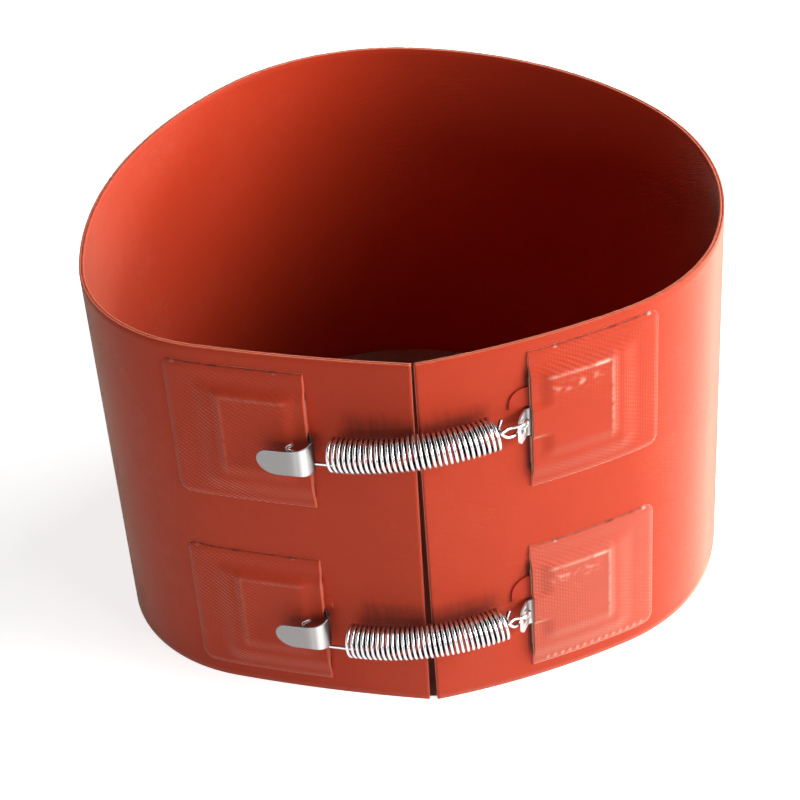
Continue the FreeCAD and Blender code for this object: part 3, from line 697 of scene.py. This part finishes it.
def strip_hook(row):
    """The bent strip as rings of points along its middle line, and the plate it grows from in the pocket."""
    top = hook_tops[row]
    neck = top - hook_neck
    half, edge = plate_thickness / 2, edge_break
    rings, dull = [], []
    stations = strip_stations()
    for i, (x, y, nx, ny) in enumerate(stations):
        opened = ease((i - opening_first) / 7)
        rise = shoulder_share + (1 - shoulder_share) * min(max((leaf_first - 1 - i) / 11, 0.0), 1.0)
        high, low = top + rise * shoulder_rise, neck + (top - leaf_width - neck) * opened
        if i >= leaf_first:
            high, low = leaf_edges(x, top)
        tall = max(high - low, 2.2 * edge)
        middle = (high + low) / 2
        high, low = middle + tall / 2, middle - tall / 2
        outer_side = [(half, low + edge + (tall - 2 * edge) * k / 10) for k in range(11)]
        upper_edge = [(half - edge * 0.4, high - edge * 0.4), (half - edge, high), (edge - half, high),
                      (edge * 0.4 - half, high - edge * 0.4)]
        inner_side = [(-half, high - edge - (tall - 2 * edge) * k / 10) for k in range(11)]
        lower_edge = [(edge * 0.4 - half, low + edge * 0.4), (edge - half, low), (half - edge, low),
                      (half - edge * 0.4, low + edge * 0.4)]
        rings.append([mouth_point("hook", row, x + nx * out, y + ny * out, z)
                      for out, z in outer_side + upper_edge + inner_side + lower_edge])
        # Painted highlight: the strip is left undarkened at the end of the bend and the start of the leaf.
        painted_highlight = exp(-((i - 29) / 3.5) ** 2)
        if i >= leaf_first:
            painted_highlight = exp(-((hook_start - x + 0.0024) / 0.0032) ** 2)
        # Painted shade on the inside and first part of the bend.
        dull += [leaf_darkening - leaf_darkening * painted_highlight + (bend_painted_shade if i < 22 else 0.0)] * len(rings[-1])
    points = [p for ring in rings for p in ring]
    count = len(rings[0])
    faces = [tuple(range(count)), tuple(range((len(rings) - 1) * count, len(rings) * count))[::-1]]
    for i in range(len(rings) - 1):
        for k in range(count):
            a, b = i * count + k, i * count + (k + 1) % count
            faces.append((a, a + count, b + count, b))
    base = len(points)
    bottom = patch_levels[row]["hook"] - plate_height / 2
    upper = patch_levels[row]["hook"] + plate_height / 2
    for i in range(plate_columns + 1):
        d = mouths[row]["hook"] + patch_thickness + (plate_reach - patch_thickness) * i / plate_columns
        for out, z in ((plate_out, bottom), (plate_out, upper), (plate_out + plate_thickness, upper),
                       (plate_out + plate_thickness, bottom)):
            points.append(band_point(band_length - d, out, z))
    for i in range(plate_columns):
        for k in range(4):
            a, b = base + i * 4 + k, base + i * 4 + (k + 1) % 4
            faces.append((a, a + 4, b + 4, b))
    faces += [(base, base + 1, base + 2, base + 3), tuple(base + plate_columns * 4 + k for k in (3, 2, 1, 0))]
    piece = new_piece(f"{row}_strip_hook", points, faces, strip_steel)
    shape = bmesh.new()
    shape.from_mesh(piece.data)
    bmesh.ops.recalc_face_normals(shape, faces=shape.faces)
    shape.to_mesh(piece.data)
    shape.free()
    piece.data.set_sharp_from_angle(angle=radians(50))
    mark(piece, "dark_tone_and_painted_shade", dull + [plate_soil] * (len(points) - len(dull)))
    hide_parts(f"{row}_spring_hook")
    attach(piece, "band")


for row in patch_levels:
    strip_hook(row)


# Pierced tabs: bright plated sheet, punched with its plate, with a lug bent outwards and drilled for the
# spring's eye.
bright_sheet = metal("plated_sheet", (0.92, 0.92, 0.92, 1), 0.32, 0.05, (500, 500, 500))
tab_edge = 0.00012


def edged_copy(node, material, width, name):
    """A node's own shape with its sharp edges broken by a fine bevel."""
    mesh = nodes[node].data.copy()
    mesh.materials.clear()
    mesh.materials.append(material)
    shape = bmesh.new()
    shape.from_mesh(mesh)
    bmesh.ops.remove_doubles(shape, verts=shape.verts, dist=1e-6)
    bmesh.ops.dissolve_limit(shape, angle_limit=radians(1.0), verts=shape.verts, edges=shape.edges)
    sharp = [e for e in shape.edges if len(e.link_faces) == 2 and e.calc_face_angle() > radians(35)]
    bmesh.ops.bevel(shape, geom=sharp, offset=width, segments=2, affect="EDGES", clamp_overlap=True)
    shape.to_mesh(mesh)
    shape.free()
    mesh.shade_smooth()
    mesh.set_sharp_from_angle(angle=radians(20))
    piece = bpy.data.objects.new(name, mesh)
    bpy.context.scene.collection.objects.link(piece)
    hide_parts(node)
    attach(piece, "band")
    return piece


for row in patch_levels:
    edged_copy(f"{row}_spring_tab", bright_sheet, tab_edge, f"{row}_pierced_tab")


# Springs: 1.5 mm bright wire close wound by the metre, stretched, with one end bent into a leg that lies
# in the strip hook and the other into a long eye that runs through the tab's hole.
wire_radius = 0.00076
coil_radius = 0.00674
spring_turns = 32
spring_hook_end = 0.0334
spring_tab_end = 0.029
spring_seat = 0.0005
spring_end_out = 0.0092
leg_angle = radians(120)
leg_bend = 0.0018
leg_seat = 0.0002
leg_hook = 0.0100
leg_drop = 0.0011
tab_flat = 0.001
tab_bend_radius = 0.002
tab_bend = radians(48)
tab_lug_length = 0.0072
tab_hole_from_tip = 0.004
tab_hole_radius = 0.0022
loop_width = 0.0056
loop_clearance = 0.00025
stub_length = 0.005
spring_rows = {"upper": {"tab": 0.1417, "hook_z": 0.1407, "tab_z": 0.1464},
               "lower": {"tab": 0.0398, "hook_z": 0.0402, "tab_z": 0.0449}}
steps_per_turn = 24
wire_sides = 10
spring_wire = metal("spring_wire", (0.76, 0.76, 0.77, 1), 0.09, 0.1, (600, 600, 600), with_painted_shade=True)


def spring_axis(row):
    """Plan points of the arc that the coil's middle follows: its two ends and the point over the seam."""
    left = Vector((*(band_flat(band_length - spring_hook_end, spring_end_out)[0] + plan_shift), 0))
    right = Vector((*(band_flat(spring_tab_end, spring_end_out)[0] + plan_shift), 0))
    seam_out = Vector((*(band_flat(0, 0)[1] + band_flat(band_length, 0)[1]), 0)).normalized()
    rise = coil_radius + wire_radius + spring_seat
    apex = Vector((*(band_flat(0, 0)[0] + plan_shift), 0)) + seam_out * rise
    return left, apex, right


def arc_centre(a, b, c):
    """Centre of the circle through three plan points."""
    matrix = np.array(((b.x - a.x, b.y - a.y), (c.x - a.x, c.y - a.y)))
    half = np.array(((b - a).length_squared, (c - a).length_squared)) / 2
    x, y = np.linalg.solve(matrix, half)
    return Vector((a.x + x, a.y + y, 0))


def axis_frame(row, share):
    """Point on the coil's middle with its direction, outward and downward vectors."""
    left, apex, right = spring_axis(row)
    centre = arc_centre(left, apex, right)
    radius = (left - centre).length
    first = atan2(left.y - centre.y, left.x - centre.x)
    last = atan2(right.y - centre.y, right.x - centre.x)
    angle = first + (last - first) * share
    out = Vector((cos(angle), sin(angle), 0))
    z1, z2 = spring_rows[row]["hook_z"], spring_rows[row]["tab_z"]
    flat = Vector((-sin(angle), cos(angle), 0))
    direction = (flat + Vector((0, 0, (z2 - z1) / (radius * (last - first))))).normalized()
    point = centre + out * radius + Vector((0, 0, z1 + (z2 - z1) * share))
    return point, direction, out, direction.cross(out)


def leg_points(row):
    """The hooked leg, from its cut end to the coil."""
    centre, direction, out, down = axis_frame(row, 0.0)
    start = centre + (out * cos(leg_angle) + down * sin(leg_angle)) * coil_radius
    z = spring_rows[row]["hook_z"] - coil_radius * sin(leg_angle) + leg_bend * cos(leg_angle)
    x = hook_start + hook_gap / 2 - wire_radius - leg_seat
    y = plate_out + plate_thickness + hook_gap / 2
    top = spring_rows[row]["hook_z"] - leg_bend
    corner = start + (out * sin(leg_angle) - down * cos(leg_angle)) * leg_bend
    leaf_top = hook_tops[row]
    corners = [mouth_point("hook", row, x - leg_hook + 0.0034, y + 0.0016, leaf_top + 0.0013),
               mouth_point("hook", row, x - leg_hook, y + 0.0012, leaf_top - 0.0014),
               mouth_point("hook", row, x - 0.55 * leg_hook, y + 0.0008, top - 0.0006),
               mouth_point("hook", row, x, y, top), mouth_point("hook", row, x, y, z - leg_drop), corner]
    return rounded(corners + [start], leg_bend * 0.6)


def rounded(points, radius, steps=5):
    """A line through points with an arc of the radius at each corner."""
    path = [points[0]]
    for before, corner, after in zip(points, points[1:], points[2:]):
        back = (before - corner).normalized()
        forth = (after - corner).normalized()
        half = back.angle(forth) / 2
        inset = radius / tan(half)
        centre = corner + (back + forth).normalized() * (radius / sin(half))
        first = corner + back * inset - centre
        last = corner + forth * inset - centre
        sweep = pi - 2 * half
        for k in range(steps + 1):
            share = k / steps
            path.append(centre + (first * sin((1 - share) * sweep) + last * sin(share * sweep)) / sin(sweep))
    return path + [points[-1]]


def eye_points(row):
    """The long eye, from the coil through the tab's hole and back to its cut end."""
    radius = tab_bend_radius + plate_thickness / 2
    start = Vector((tab_flat + radius * sin(tab_bend),
                    plate_out + plate_thickness / 2 + radius * (1 - cos(tab_bend)), 0))
    along = Vector((cos(tab_bend), sin(tab_bend), 0))
    front = Vector((-along.y, along.x, 0))
    up = Vector((0, 0, 1))
    hole = start + along * (tab_lug_length - tab_hole_from_tip) + up * spring_rows[row]["tab"]
    past = plate_thickness / 2 + wire_radius + loop_clearance
    bar = (tab_hole_from_tip + tab_hole_radius) / 2
    clear = past + loop_clearance
    route = ((tab_hole_from_tip, clear, 0.0048), (0.0005, past, 0.0042), (-0.0020, past, 0.0030),
             (-0.0027, past, 0.0010), (-0.0013, 0.0006, -0.0003), (0.0002, -past, -0.0006),
             (bar + wire_radius, -clear, -0.0009))
    eye = [mouth_point("tab", row, *(hole + along * x + front * y + up * z)) for x, y, z in route]
    centre, direction, out, down = axis_frame(row, 1.0)
    spiral = []
    for turn, share in ((0, 1.0), (40, 0.86), (80, 0.5)):
        angle = leg_angle + radians(turn)
        run_in = out * cos(angle) + down * sin(angle)
        spiral.append(centre + direction * (turn / 40 * wire_radius) + run_in * (coil_radius * share))
    crossing = centre + direction * (3 * wire_radius)
    side = out * (wire_radius * 1.25)
    half = down * (loop_width / 2)
    first = crossing + (eye[0] - crossing) * 0.4 - half * 0.1
    last = crossing + (eye[-1] - crossing) * 0.4 + half * 0.8
    stub = crossing - side - down * stub_length + direction * (stub_length * 0.3)
    return spiral + [crossing + side, first] + eye + [last, crossing - side, stub]


def new_tree(name, sockets):
    """A Geometry Nodes tree with named inputs, with a maker of nodes, the inputs and their identifiers."""
    tree = bpy.data.node_groups.new(name, "GeometryNodeTree")
    tree.interface.new_socket("Geometry", in_out="INPUT", socket_type="NodeSocketGeometry")
    identifiers = {label: tree.interface.new_socket(label, in_out="INPUT", socket_type=kind).identifier
                   for label, kind in sockets.items()}
    tree.interface.new_socket("Geometry", in_out="OUTPUT", socket_type="NodeSocketGeometry")
    entry = tree.nodes.new("NodeGroupInput")

    def make(kind, settings=None, inputs=None, output=0):
        made = tree.nodes.new(kind)
        for label, value in (settings or {}).items():
            setattr(made, label, value)
        for label, value in (inputs or {}).items():
            for item in value if isinstance(value, list) else [value]:
                if isinstance(item, bpy.types.NodeSocket):
                    tree.links.new(item, made.inputs[label])
                else:
                    made.inputs[label].default_value = item
        return made.outputs[output] if made.outputs else made

    return tree, make, entry.outputs, identifiers


def spring_tree():
    """Winds a wire round an arc, joins it to the bent ends that the piece brings and makes it round."""
    kinds = {"Wire radius": "NodeSocketFloat", "Coil radius": "NodeSocketFloat", "Turns": "NodeSocketInt",
             "Steps per turn": "NodeSocketInt", "Start angle": "NodeSocketFloat",
             "Hook end": "NodeSocketVector", "Over the seam": "NodeSocketVector",
             "Tab end": "NodeSocketVector", "Hook height": "NodeSocketFloat",
             "Tab height": "NodeSocketFloat", "Material": "NodeSocketMaterial"}
    tree, make, entry, identifiers = new_tree("wound_spring", kinds)

    def calc(operation, first, second=0.0):
        return make("ShaderNodeMath", {"operation": operation}, {0: first, 1: second})

    def vector(operation, first, second=None, scale=None):
        inputs = {0: first}
        if second is not None:
            inputs[1] = second
        if scale is not None:
            inputs["Scale"] = scale
        return make("ShaderNodeVectorMath", {"operation": operation}, inputs)

    steps = calc("MULTIPLY", entry["Turns"], entry["Steps per turn"])
    count = calc("ADD", steps, 1.0)
    arc = make("GeometryNodeCurveArc", {"mode": "POINTS"},
               {"Resolution": count, "Start": entry["Hook end"], "Middle": entry["Over the seam"],
                "End": entry["Tab end"]})
    index = make("GeometryNodeInputIndex")
    share = calc("DIVIDE", index, steps)
    tangent = make("GeometryNodeInputTangent")
    x = make("ShaderNodeSeparateXYZ", None, {0: tangent}, 0)
    y = make("ShaderNodeSeparateXYZ", None, {0: tangent}, 1)
    out = make("ShaderNodeCombineXYZ", None, {0: y, 1: calc("MULTIPLY", x, -1.0), 2: 0.0})
    rise = calc("SUBTRACT", entry["Tab height"], entry["Hook height"])
    slope = calc("DIVIDE", rise, make("GeometryNodeCurveLength", None, {0: arc}))
    leaning = vector("NORMALIZE", vector("ADD", tangent, make("ShaderNodeCombineXYZ", None, {2: slope})))
    down = vector("CROSS_PRODUCT", leaning, out)
    turned = calc("MULTIPLY", calc("DIVIDE", index, entry["Steps per turn"]), 2 * pi)
    angle = calc("ADD", entry["Start angle"], turned)
    outwards = calc("MULTIPLY", calc("COSINE", angle), entry["Coil radius"])
    downwards = calc("MULTIPLY", calc("SINE", angle), entry["Coil radius"])
    swing = vector("ADD", vector("SCALE", out, scale=outwards), vector("SCALE", down, scale=downwards))
    height = calc("ADD", entry["Hook height"], calc("MULTIPLY", rise, share))
    shift = vector("ADD", swing, make("ShaderNodeCombineXYZ", None, {2: height}))
    coil = make("GeometryNodeSetPosition", None, {"Geometry": arc, "Offset": shift})
    wire = make("GeometryNodeJoinGeometry", None, {0: [coil, entry["Geometry"]]})
    section = make("GeometryNodeCurvePrimitiveCircle", {"mode": "RADIUS"},
                   {"Resolution": wire_sides, "Radius": entry["Wire radius"]})
    tube = make("GeometryNodeCurveToMesh", None, {"Curve": wire, "Profile Curve": section, "Fill Caps": True})
    smooth = make("GeometryNodeSetShadeSmooth", None, {"Geometry": tube, "Shade Smooth": True})
    real = make("GeometryNodeRealizeInstances", None, {"Geometry": smooth})
    dressed = make("GeometryNodeSetMaterial", None, {"Geometry": real, "Material": entry["Material"]})
    make("NodeGroupOutput", None, {0: dressed})
    return tree, identifiers


wound_spring, spring_inputs = spring_tree()


def as_mesh(source, name):
    """The evaluated piece as a plain mesh of its own."""
    bpy.context.view_layer.update()
    seen = source.evaluated_get(bpy.context.evaluated_depsgraph_get())
    mesh = bpy.data.meshes.new_from_object(seen)
    mesh.name = name
    piece = bpy.data.objects.new(name, mesh)
    bpy.context.scene.collection.objects.link(piece)
    bpy.data.objects.remove(source)
    return piece


def add_spline(curve, points):
    """Adds a straight-sided line through the points to the curve."""
    spline = curve.splines.new("POLY")
    spline.points.add(len(points) - 1)
    for point, place in zip(spline.points, points):
        point.co = (*place, 1.0)


def through(points, steps=10):
    """A smooth line through points, each stretch eased by its neighbours."""
    path = []
    ends = [points[0] * 2 - points[1]] + points + [points[-1] * 2 - points[-2]]
    for a, b, c, d in zip(ends, ends[1:], ends[2:], ends[3:]):
        gaps = [max((q - p).length, 1e-6) ** 0.5 for p, q in ((a, b), (b, c), (c, d))]
        m1 = (c - b) + ((b - a) / gaps[0] - (c - a) / (gaps[0] + gaps[1])) * gaps[1]
        m2 = (c - b) + ((d - c) / gaps[2] - (d - b) / (gaps[1] + gaps[2])) * gaps[1]
        for k in range(steps):
            t = k / steps
            path.append(b * (2 * t ** 3 - 3 * t ** 2 + 1) + m1 * (t ** 3 - 2 * t ** 2 + t)
                        + c * (3 * t ** 2 - 2 * t ** 3) + m2 * (t ** 3 - t ** 2))
    return path + [points[-1]]


def coil_inner_painted_shade(piece, row):
    """Marks the inner side of the coil's wire, which faces the coil's middle, with painted shade."""
    left, apex, right = spring_axis(row)
    centre = arc_centre(left, apex, right)
    radius = (left - centre).length
    first, last = (atan2(end.y - centre.y, end.x - centre.x) for end in (left, right))
    z1, z2 = spring_rows[row]["hook_z"], spring_rows[row]["tab_z"]
    marks = []
    for vertex in piece.data.vertices:
        place = vertex.co
        share = (atan2(place.y - centre.y, place.x - centre.x) - first) / (last - first)
        level = place.z - z1 - (z2 - z1) * share
        off = sqrt((sqrt((place.x - centre.x) ** 2 + (place.y - centre.y) ** 2) - radius) ** 2 + level ** 2)
        marks.append(ease((coil_radius - off) / wire_radius * 1.4 + 0.62) if 0 < share < 1 else 0.0)
    mark(piece, "dark_tone_and_painted_shade", marks)


def spring(row):
    """One spring: its coil wound onto its bent ends and made a mesh of its own in place of the CAD spring."""
    curve = bpy.data.curves.new(f"{row}_ends", "CURVE")
    curve.dimensions = "3D"
    add_spline(curve, leg_points(row))
    add_spline(curve, through(eye_points(row)))
    ends = bpy.data.objects.new(f"{row}_ends", curve)
    bpy.context.scene.collection.objects.link(ends)
    winder = ends.modifiers.new("wound", "NODES")
    winder.node_group = wound_spring
    left, apex, right = spring_axis(row)
    values = {"Wire radius": wire_radius, "Coil radius": coil_radius, "Turns": spring_turns,
              "Steps per turn": steps_per_turn, "Start angle": leg_angle, "Hook end": left,
              "Over the seam": apex, "Tab end": right, "Hook height": spring_rows[row]["hook_z"],
              "Tab height": spring_rows[row]["tab_z"], "Material": spring_wire}
    for label, value in values.items():
        winder[spring_inputs[label]] = value
    piece = as_mesh(ends, f"{row}_wound_spring")
    coil_inner_painted_shade(piece, row)
    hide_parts(f"{row}_spring")
    tuple(axis_frame(row, 1.0)[0])
    tuple(axis_frame(row, 0.0)[0])
    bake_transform(piece)


for row in patch_levels:
    spring(row)


# Element and its crimps: an etched foil track sealed between the sheets, and a brass crimp barrel on each of
# its ends inside the boss. Nothing of them shows from outside.
foil = metal("foil", (0.62, 0.60, 0.56, 1), 0.3, 0.1, (500, 500, 500))
crimp = metal("crimp_brass", (0.78, 0.6, 0.3, 1), 0.3, 0.1, (500, 500, 500))
for name, material in (("heating_element", foil), ("terminal_tab_side", crimp),
                       ("terminal_hook_side", crimp)):
    nodes[name].data.materials.clear()
    nodes[name].data.materials.append(material)
